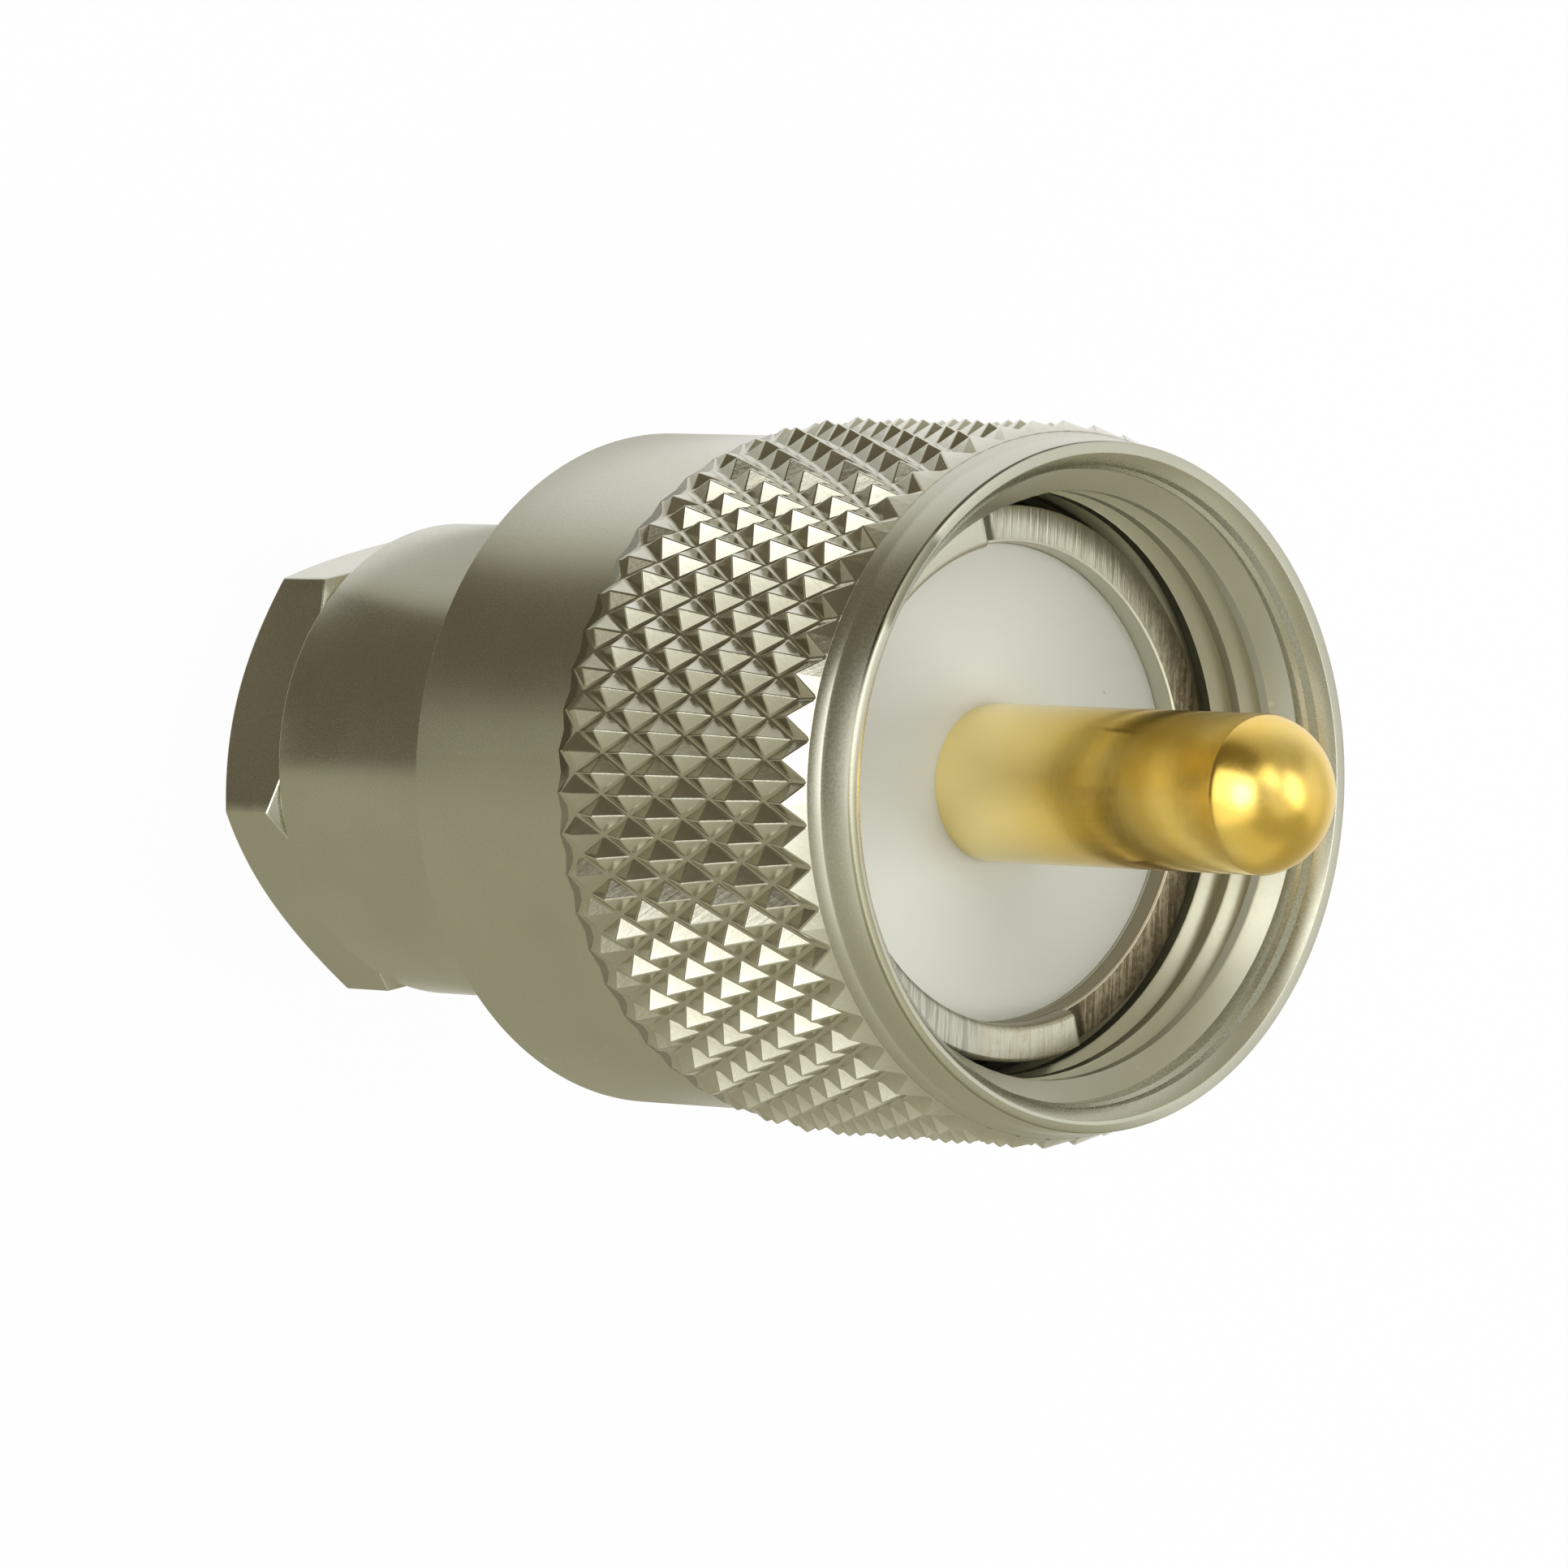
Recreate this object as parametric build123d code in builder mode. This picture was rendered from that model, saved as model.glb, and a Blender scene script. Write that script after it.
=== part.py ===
"""UHF male plug, clamp type: every separate piece as its own solid, in millimetres.

The axis is Z with the pin upwards.  The plug stands on the flat rear face of the
clamp nut, and z = 0 is that face.
"""
import os
from math import cos, pi, radians, sin

from build123d import *

os.makedirs("parts", exist_ok=True)

# Plays and gaps
fit_gap = 0.04                      # radial play of a running fit
side_gap = 0.10                     # play along the axis between moving pieces
seat_gap = 0.05                     # play along the axis of a ring in its groove
spare = 0.50                        # how far a cutter reaches past what it cuts

# Radii, from the coupling thread inwards and outwards
thread_wall_r = 7.94                # 5/8-24, major diameter 15.88
skirt_wall = 0.69
knurl_step = 0.17
knurl_deep = 0.37
neck_drop = 0.02
rim_bevel_wide = 0.13
mouth_wide = 0.30
entry_play = 0.11
ring_play = 0.94
flange_over = 1.40
ring_wall = 0.95
ring_edge = 0.13
front_wall = 1.00
way_wall = 2.00
lip_play = 0.25
guide_thick = 0.85
shoulder_high = 0.56
barrel_wall = 1.41
spigot_over = 0.25
skirt_r = thread_wall_r + skirt_wall
knurl_root_r = skirt_r + knurl_step
knurl_tip_r = knurl_root_r + knurl_deep
knurl_core_r = skirt_r - neck_drop
neck_r = knurl_root_r - neck_drop
rim_r = neck_r - rim_bevel_wide
mouth_r = rim_r - mouth_wide
entry_r = thread_wall_r + entry_play
ring_r = thread_wall_r - ring_play
ring_bore_r = ring_r - ring_wall
neck_body_r = ring_r - flange_over
front_bore_r = neck_body_r - front_wall
cable_way_r = neck_body_r - way_wall
lip_bore_r = neck_body_r + lip_play
groove_r = neck_body_r + guide_thick
barrel_r = neck_body_r + shoulder_high
gland_bore_r = barrel_r - barrel_wall
spigot_r = gland_bore_r + spigot_over
gland_r = gland_bore_r - fit_gap

# Levels on the axis, from the face that it stands on up to the rim
hex_long = 2.63
barrel_long = 8.04
nut_long = 16.06
barrel_rear_z = hex_long + side_gap
shoulder_z = barrel_rear_z + barrel_long
nut_rear_z = shoulder_z + side_gap
rim_z = nut_rear_z + nut_long

# Coupling nut
skirt_edge = 0.12
rim_bevel_long = 0.84
knurl_inset = 1.31
mouth_bevel_long = 0.30
entry_long = 1.00
lip_long = 5.56
groove_off = 2.26
groove_wide = 1.20
guide_split = 0.80
lip_front_z = nut_rear_z + lip_long
groove_rear_z = nut_rear_z + groove_off
groove_front_z = groove_rear_z + groove_wide

# Diamond knurl on the coupling nut
teeth = 53
rows = 9                            # rows of tips along the nut
half_row = 0.987
first_row = 0.72                    # from the knurl's front end to its first row of tips
last_row = 0.474                    # from its last row of tips to its rear end
last_drop = 0.15                    # the rear chamfer takes this much off the last row
knurl_turn = 1.40
knurl_front_z = rim_z - knurl_inset
knurl_rear_z = knurl_front_z - first_row - (rows - 1) * half_row - last_row
knurl_bite = 0.15                   # how deep the knurled ring is rooted in the nut

# Front body: stepped ring, flange and neck
nut_travel = 4.75
flange_long = 2.28
ring_step = 0.52
step_turn = 17.8
step_off = 0.40
flange_web = 0.60
spigot_long = 1.64
flange_rear_z = lip_front_z + nut_travel + side_gap
ring_low_z = flange_rear_z + flange_long
ring_high_z = ring_low_z + ring_step
disc_rear_z = flange_rear_z + flange_web
front_rear_z = shoulder_z - spigot_long

# Rear body
barrel_edge = 0.10

# Insulator and centre pin
disc_sunk = 0.56
shank_long = 8.75
insulator_edge = 0.06
pin_r = 2.00
pin_shoulder = 0.20
pin_free = 9.68
dome_high = 1.63
pin_step_deep = 8.07
pin_tail_long = 3.40
pin_tail_r = 1.50
solder_bore_r = 0.60
solder_deep = 3.20
pin_seat_r = pin_r - pin_shoulder
insulator_face_z = ring_low_z - disc_sunk
insulator_rear_z = disc_rear_z - shank_long
dome_start_z = insulator_face_z + pin_free
dome_tip_z = dome_start_z + dome_high
pin_step_z = insulator_face_z - pin_step_deep
pin_rear_z = pin_step_z - pin_tail_long

# Clamp nut and the clamping stack inside the rear body
hex_inset = 0.635
hex_turn = 15.0
hex_rear_land = 0.105
hex_rear_drop = 0.75
hex_front_land = 0.275
hex_front_drop = 0.28
gland_long = 3.27
gland_edge = 0.20
cable_r = 2.65
cable_lead = 0.25
washer_thick = 0.40
gasket_play = 0.15
ferrule_flange_thick = 0.90
ferrule_play = 0.50
ferrule_tube_wall = 1.50
ferrule_tube_long = 1.80
hex_flat_r = barrel_r - hex_inset
hex_corner_r = hex_flat_r / cos(pi / 6)
gland_front_z = barrel_rear_z + gland_long
washer_rear_z = gland_front_z + seat_gap
washer_front_z = washer_rear_z + washer_thick
ferrule_rear_z = front_rear_z - ferrule_flange_thick
ferrule_tube_r = cable_way_r - ferrule_play
ferrule_bore_r = ferrule_tube_r - ferrule_tube_wall
gasket_r = gland_bore_r - gasket_play


def section(points):
    """Closed profile in the XZ plane, drawn as (radius, height) pairs."""
    with BuildSketch(Plane.XZ) as sketch:
        with BuildLine():
            Polyline(*points, close=True)
        make_face()
    return sketch.sketch


def knurl_band():
    """Ring whose outside is the diamond knurl: pyramids between two helical sets of
    V grooves, with both ends chamfered down to the grooves' depth."""
    count = 2 * teeth
    levels = [knurl_front_z]
    levels += [knurl_front_z - first_row - k * half_row for k in range(rows)]
    levels += [knurl_rear_z]
    last = len(levels) - 1

    def at(r, i, k):
        a = radians(knurl_turn) + pi * (i % count) / teeth
        return Vector(r * cos(a), r * sin(a), levels[k])

    def node(i, k):
        if (i + k) % 2 == 0 or k in (0, last):
            return at(knurl_root_r, i, k)
        return at(knurl_tip_r - (last_drop if k == rows else 0), i, k)

    def inner(i, k):
        return at(knurl_core_r - knurl_bite, i, k)

    faces = []
    for k in range(last):
        for i in range(count):
            a, b = node(i, k), node(i + 1, k)
            c, d = node(i, k + 1), node(i + 1, k + 1)
            if (i + k) % 2 == 0:
                pair = ((a, b, d), (a, d, c))
            else:
                pair = ((a, b, c), (b, d, c))
            for corners in pair:
                faces.append(Face(Wire.make_polygon(corners, close=True)))
    for i in range(count):
        wall = (inner(i, 0), inner(i + 1, 0), inner(i + 1, last), inner(i, last))
        faces.append(Face(Wire.make_polygon(wall, close=True)))
    for k in (0, last):
        outline = Wire.make_polygon([node(i, k) for i in range(count)], close=True)
        hole = Wire.make_polygon([inner(i, k) for i in range(count)], close=True)
        faces.append(Face(outline, [hole]))
    return Solid(Shell(faces))


# Coupling nut
with BuildPart() as coupling_nut:
    add(section([
        (lip_bore_r, nut_rear_z),
        (skirt_r - skirt_edge, nut_rear_z),
        (skirt_r, nut_rear_z + skirt_edge),
        (skirt_r, knurl_rear_z),
        (knurl_core_r, knurl_rear_z),
        (knurl_core_r, knurl_front_z),
        (neck_r, knurl_front_z),
        (neck_r, rim_z - rim_bevel_long),
        (rim_r, rim_z),
        (mouth_r, rim_z),
        (entry_r, rim_z - mouth_bevel_long),
        (entry_r, rim_z - entry_long),
        (thread_wall_r, rim_z - entry_long),
        (thread_wall_r, lip_front_z),
        (lip_bore_r, lip_front_z),
        (lip_bore_r, groove_front_z),
        (groove_r, groove_front_z),
        (groove_r, groove_rear_z),
        (lip_bore_r, groove_rear_z),
    ]))
    revolve(axis=Axis.Z)
    add(knurl_band())
coupling_nut.part.label = "coupling_nut"
export_step(coupling_nut.part, "parts/coupling_nut.step")

# Split guide ring that slides on the neck and carries the nut
with BuildPart() as guide_ring:
    add(section([
        (neck_body_r + fit_gap, groove_rear_z + seat_gap),
        (groove_r - fit_gap, groove_rear_z + seat_gap),
        (groove_r - fit_gap, groove_front_z - seat_gap),
        (neck_body_r + fit_gap, groove_front_z - seat_gap),
    ]))
    revolve(axis=Axis.Z)
    with Locations((0, -groove_r, (groove_front_z + groove_rear_z) / 2)):
        Box(guide_split, 2 * groove_r, 2 * groove_wide, mode=Mode.SUBTRACT)
guide_ring.part.label = "guide_ring"
export_step(guide_ring.part, "parts/guide_ring.step")

# Front body: half of the front ring is milled down across a slanting chord
with BuildPart() as front_body:
    add(section([
        (cable_way_r, front_rear_z),
        (spigot_r, front_rear_z),
        (spigot_r, shoulder_z),
        (neck_body_r, shoulder_z),
        (neck_body_r, flange_rear_z),
        (ring_r, flange_rear_z),
        (ring_r, ring_high_z),
        (ring_bore_r + ring_edge, ring_high_z),
        (ring_bore_r, ring_high_z - ring_edge),
        (ring_bore_r, disc_rear_z),
        (front_bore_r, disc_rear_z),
        (front_bore_r, insulator_rear_z),
        (cable_way_r, insulator_rear_z),
    ]))
    revolve(axis=Axis.Z)
    with Locations(Location((0, 0, ring_low_z), (0, 0, step_turn))):
        with Locations((step_off, 0, 0)):
            Box(2 * ring_r, 3 * ring_r, 2 * ring_step, align=(Align.MIN, Align.CENTER, Align.MIN), mode=Mode.SUBTRACT)
front_body.part.label = "front_body"
export_step(front_body.part, "parts/front_body.step")

# Rear body: the plain barrel, bored for the clamp nut
with BuildPart() as rear_body:
    add(section([
        (gland_bore_r, barrel_rear_z),
        (barrel_r - barrel_edge, barrel_rear_z),
        (barrel_r, barrel_rear_z + barrel_edge),
        (barrel_r, shoulder_z),
        (spigot_r, shoulder_z),
        (spigot_r, front_rear_z),
        (gland_bore_r, front_rear_z),
    ]))
    revolve(axis=Axis.Z)
rear_body.part.label = "rear_body"
export_step(rear_body.part, "parts/rear_body.step")

# Insulator: disc in the front ring and a shank in the neck
with BuildPart() as insulator:
    add(section([
        (pin_tail_r, insulator_rear_z),
        (front_bore_r, insulator_rear_z),
        (front_bore_r, disc_rear_z),
        (ring_bore_r, disc_rear_z),
        (ring_bore_r, insulator_face_z - insulator_edge),
        (ring_bore_r - insulator_edge, insulator_face_z),
        (pin_seat_r, insulator_face_z),
        (pin_seat_r, pin_step_z),
        (pin_tail_r, pin_step_z),
    ]))
    revolve(axis=Axis.Z)
insulator.part.label = "insulator"
export_step(insulator.part, "parts/insulator.step")

# Centre pin with a domed end and a solder cup
dome_ball_r = (pin_r ** 2 + dome_high ** 2) / (2 * dome_high)
with BuildPart() as centre_pin:
    with BuildSketch(Plane.XZ):
        with BuildLine():
            Polyline(
                (0, dome_tip_z),
                (0, pin_rear_z + solder_deep),
                (solder_bore_r, pin_rear_z + solder_deep),
                (solder_bore_r, pin_rear_z),
                (pin_tail_r, pin_rear_z),
                (pin_tail_r, pin_step_z),
                (pin_seat_r, pin_step_z),
                (pin_seat_r, insulator_face_z),
                (pin_r, insulator_face_z),
                (pin_r, dome_start_z),
            )
            RadiusArc((pin_r, dome_start_z), (0, dome_tip_z), -dome_ball_r)
        make_face()
    revolve(axis=Axis.Z)
centre_pin.part.label = "centre_pin"
export_step(centre_pin.part, "parts/centre_pin.step")

# Clamp nut: thin hexagon with a bored shank inside the rear body
with BuildPart() as clamp_nut:
    with BuildSketch(Plane.XY):
        with BuildLine():
            Polyline(
                *[(hex_corner_r * cos(radians(hex_turn + 60 * n)), hex_corner_r * sin(radians(hex_turn + 60 * n)))
                  for n in range(6)],
                close=True,
            )
        make_face()
    extrude(amount=hex_long)
    add(section([
        (0, 0),
        (hex_flat_r - hex_rear_land, 0),
        (hex_corner_r, hex_rear_drop),
        (hex_corner_r + spare, hex_rear_drop),
        (hex_corner_r + spare, hex_long - hex_front_drop),
        (hex_corner_r, hex_long - hex_front_drop),
        (hex_flat_r + hex_front_land, hex_long),
        (0, hex_long),
    ]))
    revolve(axis=Axis.Z, mode=Mode.INTERSECT)
    add(section([
        (0, hex_long / 2),
        (gland_r, hex_long / 2),
        (gland_r, gland_front_z - gland_edge),
        (gland_r - gland_edge, gland_front_z),
        (0, gland_front_z),
    ]))
    revolve(axis=Axis.Z)
    add(section([
        (0, -spare),
        (cable_r + cable_lead + spare, -spare),
        (cable_r + cable_lead, 0),
        (cable_r, cable_lead),
        (cable_r, gland_front_z + spare),
        (0, gland_front_z + spare),
    ]))
    revolve(axis=Axis.Z, mode=Mode.SUBTRACT)
clamp_nut.part.label = "clamp_nut"
export_step(clamp_nut.part, "parts/clamp_nut.step")

# Thrust washer that the clamp nut turns on
with BuildPart() as thrust_washer:
    add(section([
        (cable_r, washer_rear_z),
        (gland_r, washer_rear_z),
        (gland_r, washer_front_z),
        (cable_r, washer_front_z),
    ]))
    revolve(axis=Axis.Z)
thrust_washer.part.label = "thrust_washer"
export_step(thrust_washer.part, "parts/thrust_washer.step")

# Braid ferrule, its flange seated on the rear face of the front body
with BuildPart() as braid_ferrule:
    add(section([
        (ferrule_bore_r, ferrule_rear_z),
        (gland_r, ferrule_rear_z),
        (gland_r, front_rear_z),
        (ferrule_tube_r, front_rear_z),
        (ferrule_tube_r, front_rear_z + ferrule_tube_long),
        (ferrule_bore_r, front_rear_z + ferrule_tube_long),
    ]))
    revolve(axis=Axis.Z)
braid_ferrule.part.label = "braid_ferrule"
export_step(braid_ferrule.part, "parts/braid_ferrule.step")

# Rubber gasket between washer and ferrule
with BuildPart() as gasket:
    add(section([
        (cable_r, washer_front_z + seat_gap),
        (gasket_r, washer_front_z + seat_gap),
        (gasket_r, ferrule_rear_z),
        (cable_r, ferrule_rear_z),
    ]))
    revolve(axis=Axis.Z)
gasket.part.label = "gasket"
export_step(gasket.part, "parts/gasket.step")
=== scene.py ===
"""Looks of a clamp-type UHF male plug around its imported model.

Every piece is modelled in millimetres in the plug's own frame, +Z along its axis
towards the pin, and is scaled to metres when its object is made.
"""
from __future__ import annotations

import logging
import random
from dataclasses import dataclass
from enum import Enum
from math import asin, atan2, cos, inf, pi, radians, sin
from typing import Callable, Iterable, Sequence, Union

import bmesh
import bpy
from mathutils import Matrix, Vector

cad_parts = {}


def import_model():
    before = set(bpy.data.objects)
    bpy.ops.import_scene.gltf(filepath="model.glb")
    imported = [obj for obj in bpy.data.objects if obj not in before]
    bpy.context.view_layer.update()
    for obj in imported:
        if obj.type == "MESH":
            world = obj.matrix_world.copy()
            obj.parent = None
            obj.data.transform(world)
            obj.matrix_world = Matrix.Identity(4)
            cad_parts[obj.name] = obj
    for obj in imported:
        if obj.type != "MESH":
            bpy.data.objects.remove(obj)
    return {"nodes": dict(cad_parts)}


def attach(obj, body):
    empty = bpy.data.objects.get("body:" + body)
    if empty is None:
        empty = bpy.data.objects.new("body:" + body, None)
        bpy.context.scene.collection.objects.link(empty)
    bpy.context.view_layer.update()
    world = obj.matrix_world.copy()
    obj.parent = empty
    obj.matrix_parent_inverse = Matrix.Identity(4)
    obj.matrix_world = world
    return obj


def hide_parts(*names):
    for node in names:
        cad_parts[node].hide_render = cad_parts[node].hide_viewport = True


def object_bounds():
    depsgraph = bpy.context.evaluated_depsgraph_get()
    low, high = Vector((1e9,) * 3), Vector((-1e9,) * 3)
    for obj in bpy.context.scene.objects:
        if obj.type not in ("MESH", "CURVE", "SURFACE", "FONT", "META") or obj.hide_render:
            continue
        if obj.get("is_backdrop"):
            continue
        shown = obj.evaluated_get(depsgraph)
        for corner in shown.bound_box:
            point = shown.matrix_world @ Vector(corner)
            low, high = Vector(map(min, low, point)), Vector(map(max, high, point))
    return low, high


LOG = logging.getLogger("uhf_plug")
MM = 0.001
TURN = 2 * pi


class Ray(Enum):
    """Ray types for which a stage surface shows its plain white."""

    CAMERA = "Is Camera Ray"
    GLOSSY = "Is Glossy Ray"
    TRANSMISSION = "Is Transmission Ray"


def operator(operation: str, swapped: bool = False) -> Callable[[Field, Value], Field]:
    """Makes an operator of fields.

    Args:
        operation: The Math node's operation.
        swapped: Whether the other value comes first.

    Returns:
        The operator's method.
    """
    def apply(self: Field, other: Value) -> Field:
        """Adds the Math node."""
        first, second = (other, self) if swapped else (self, other)
        return self.tree.math(operation, first, second)

    return apply


class Field:
    """A socket of a shader tree that Python's operators work on."""

    __add__ = __radd__ = operator("ADD")
    __sub__ = operator("SUBTRACT")
    __rsub__ = operator("SUBTRACT", swapped=True)
    __mul__ = __rmul__ = operator("MULTIPLY")
    __truediv__ = operator("DIVIDE")
    __pow__ = operator("POWER")
    __gt__ = operator("GREATER_THAN")
    __lt__ = operator("LESS_THAN")

    def __init__(self, tree: ShaderTree, socket: bpy.types.NodeSocket) -> None:
        """Keeps the tree and the output socket."""
        self.tree = tree
        self.socket = socket

    def clamp(self) -> Field:
        """Value held between 0 and 1."""
        return self.tree.node("ShaderNodeClamp", {}, {"Value": self})

    def step(self, low: float, high: float) -> Field:
        """Smooth step.

        Args:
            low: Value at and below which the result is 0.
            high: Value at and above which the result is 1.

        Returns:
            The stepped value.
        """
        return self.tree.node(
            "ShaderNodeMapRange",
            {"interpolation_type": "SMOOTHSTEP"},
            {"Value": self, "From Min": low, "From Max": high},
        )


Material = bpy.types.Material
Thing = bpy.types.Object
Value = Union[float, Field]
Triple = tuple[float, float, float]
Colour = Triple
Band = tuple[float, float]
Grain = tuple[float, ...]


def radial(x: Field, y: Field) -> Field:
    """Distance from the axis."""
    return (x * x + y * y) ** 0.5


def toward(x: Field, y: Field, azimuth: float) -> Field:
    """Distance from the axis in the direction of an azimuth in degrees."""
    way = radians(azimuth)
    return x * cos(way) + y * sin(way)


class ShaderTree:
    """The node tree of a material or a world, built by calls that return fields."""

    def __init__(self, name: str, world: bool = False) -> None:
        """Makes an empty material or world.

        Args:
            name: Its name.
            world: Whether it is a world.
        """
        self.output = "ShaderNodeOutputWorld" if world else "ShaderNodeOutputMaterial"
        self.owner = (bpy.data.worlds if world else bpy.data.materials).new(name)
        self.owner.use_nodes = True
        self.tree = self.owner.node_tree
        self.tree.nodes.clear()

    def raw(self, kind: str, settings: dict, inputs: dict) -> bpy.types.Node:
        """Adds a node.

        Args:
            kind: Type name of the node.
            settings: Properties, set before the sockets.
            inputs: Socket names or numbers with their values or links.

        Returns:
            The node.
        """
        node = self.tree.nodes.new(kind)
        for key, value in settings.items():
            setattr(node, key, value)
        for key, value in inputs.items():
            socket = node.inputs[key]
            if isinstance(value, Field):
                self.tree.links.new(value.socket, socket)
            elif isinstance(value, tuple) and socket.type == "RGBA":
                socket.default_value = (*value, 1.0)
            else:
                socket.default_value = value
        return node

    def node(self, kind: str, settings: dict, inputs: dict, output: Union[int, str] = 0) -> Field:
        """Adds a node as raw() does and returns one of its outputs as a field."""
        return Field(self, self.raw(kind, settings, inputs).outputs[output])

    def math(self, operation: str, first: Value, second: Value) -> Field:
        """Adds a Math node."""
        return self.node("ShaderNodeMath", {"operation": operation}, {0: first, 1: second})

    def blend(self, factor: Value, first: Union[Colour, Field], second: Union[Colour, Field]) -> Field:
        """Mixes two colours: the first at factor 0, the second at factor 1."""
        return self.node("ShaderNodeMix", {"data_type": "RGBA"}, {0: factor, 6: first, 7: second}, 2)

    def place(self, scale: Sequence[float] = (1, 1, 1), turn: float = 0.0) -> Field:
        """Object coordinates in millimetres.

        Args:
            scale: Scale on each axis before the turn.
            turn: Angle about Z in radians.

        Returns:
            The vector.
        """
        source = self.node("ShaderNodeTexCoord", {}, {}, "Object")
        sizes = tuple(s / MM for s in scale)
        return self.node(
            "ShaderNodeMapping",
            {"vector_type": "POINT"},
            {"Vector": source, "Rotation": (0.0, 0.0, turn), "Scale": sizes},
        )

    def vector(self, **parts: Value) -> Field:
        """Joins values X, Y and Z to a vector."""
        return self.node("ShaderNodeCombineXYZ", {}, parts)

    def axes(self, vector: Field) -> tuple[Field, Field, Field]:
        """Splits a vector into its three parts."""
        node = self.raw("ShaderNodeSeparateXYZ", {}, {"Vector": vector})
        return tuple(Field(self, node.outputs[n]) for n in range(3))

    def noise(self, vector: Field, scale: float, detail: float = 2.0, rough: float = 0.5) -> Field:
        """Noise texture from 0 to 1."""
        return self.node(
            "ShaderNodeTexNoise",
            {"noise_dimensions": "3D"},
            {"Vector": vector, "Scale": scale, "Detail": detail, "Roughness": rough},
        )

    def bump(self, height: Field, distance: float) -> Field:
        """Bump normal from a height map.

        Args:
            height: Height from 0 to 1.
            distance: Depth in millimetres that a height of 1 stands for.

        Returns:
            The normal.
        """
        inputs = {"Height": height, "Distance": distance * MM}
        return self.node("ShaderNodeBump", {}, inputs, "Normal")

    def surface(self, **inputs: Union[float, Colour, Field]) -> Material:
        """Ends the tree in a Principled shader.

        Args:
            **inputs: Its sockets, with underscores for the spaces in their names.

        Returns:
            The finished material.
        """
        sockets = {name.replace("_", " "): value for name, value in inputs.items()}
        return self.finish(self.node("ShaderNodeBsdfPrincipled", {}, sockets))

    def metal(self, colour: Field, rough: Field, height: Field, depth: float) -> Material:
        """Ends the tree in a metal with a bump of a depth in millimetres."""
        bump = self.bump(height, depth)
        return self.surface(Base_Color=colour, Metallic=1.0, Roughness=rough, Normal=bump)

    def finish(self, shader: Field) -> Union[Material, bpy.types.World]:
        """Links a shader to the output."""
        self.raw(self.output, {}, {"Surface": shader})
        return self.owner

    def seen(self) -> Field:
        """1 for the rays that see a stage surface as plain white."""
        total: Value = 0.0
        for ray in Ray:
            total = self.node("ShaderNodeLightPath", {}, {}, ray.value) + total
        return total.clamp()


@dataclass(frozen=True)
class Patch:
    """A darker stretch of a rim: its place and half its width in degrees, and its inner radius."""

    azimuth: float
    wide: float
    from_r: float
    colour: Colour


@dataclass(frozen=True)
class SatinNickel:
    """Satin nickel plate on turned brass.

    In this and the other finishes a grain holds a noise's scale, detail and roughness,
    and a band the two values between which a step rises.
    """

    name: str
    light: Colour = (0.64, 0.63, 0.545)
    dark: Colour = (0.59, 0.58, 0.50)
    glint: Colour = (0.80, 0.79, 0.70)
    rough: float = 0.27
    rough_grain: float = 0.25
    rough_slow: float = 0.08
    slow: Grain = (0.22, 3.0)
    slow_band: Band = (0.3, 0.7)
    grain: Grain = (14.0, 4.0, 0.7)
    grain_band: Band = (0.62, 0.8)
    grain_glint: float = 0.25
    grain_depth: float = 0.0013
    speck: Grain = (1.9, 2.0)
    speck_band: Band = (0.765, 0.79)
    speck_glint: float = 0.6
    turning: float = 0.35
    turning_scale: Triple = (0.02, 0.02, 9.0)
    turning_grain: Grain = (1.0, 3.0, 0.6)
    patches: tuple[Patch, ...] = ()
    patch_z: float = 26.84
    patch_sway: float = 0.05
    patch_waver: float = 0.15
    patch_edge: float = 0.01

    def darken_stretches(self, tree: ShaderTree, spot: Field, slow: Field, colour: Field) -> Field:
        """Lays the darker stretches over a colour.

        Args:
            tree: The material's tree.
            spot: Object coordinates in millimetres.
            slow: Slow noise by which the stretches' edges waver.
            colour: The colour below.

        Returns:
            The colour with the stretches.
        """
        x, y, z = tree.axes(spot)
        radius = radial(x, y)
        front = z > self.patch_z
        for patch in self.patches:
            along = toward(x, y, patch.azimuth) / radius + (slow - 0.5) * self.patch_sway
            near = along.step(cos(radians(patch.wide)), cos(radians(patch.wide * 0.5)))
            wavering = radius + (slow - 0.5) * self.patch_waver
            band = wavering.step(patch.from_r - self.patch_edge, patch.from_r + self.patch_edge)
            colour = tree.blend(near * band * front, colour, patch.colour)
        return colour

    def build(self) -> Material:
        """Builds the material: grain, faint turning marks, specks and slow changes of tone."""
        tree = ShaderTree(self.name)
        spot = tree.place()
        slow = tree.noise(spot, *self.slow)
        grain = tree.noise(spot, *self.grain)
        lines = tree.noise(tree.place(scale=self.turning_scale), *self.turning_grain)
        height = grain * (1.0 - self.turning) + lines * self.turning
        colour = tree.blend(slow.step(*self.slow_band), self.dark, self.light)
        speck = tree.noise(spot, *self.speck).step(*self.speck_band)
        bright = grain.step(*self.grain_band) * self.grain_glint + speck * self.speck_glint
        colour = tree.blend(bright.clamp(), colour, self.glint)
        # darker stretches of the rim, where given
        if self.patches:
            colour = self.darken_stretches(tree, spot, slow, colour)
        rough = self.rough + (grain - 0.5) * self.rough_grain + (slow - 0.5) * self.rough_slow
        return tree.metal(colour, rough, height, self.grain_depth)


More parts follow.
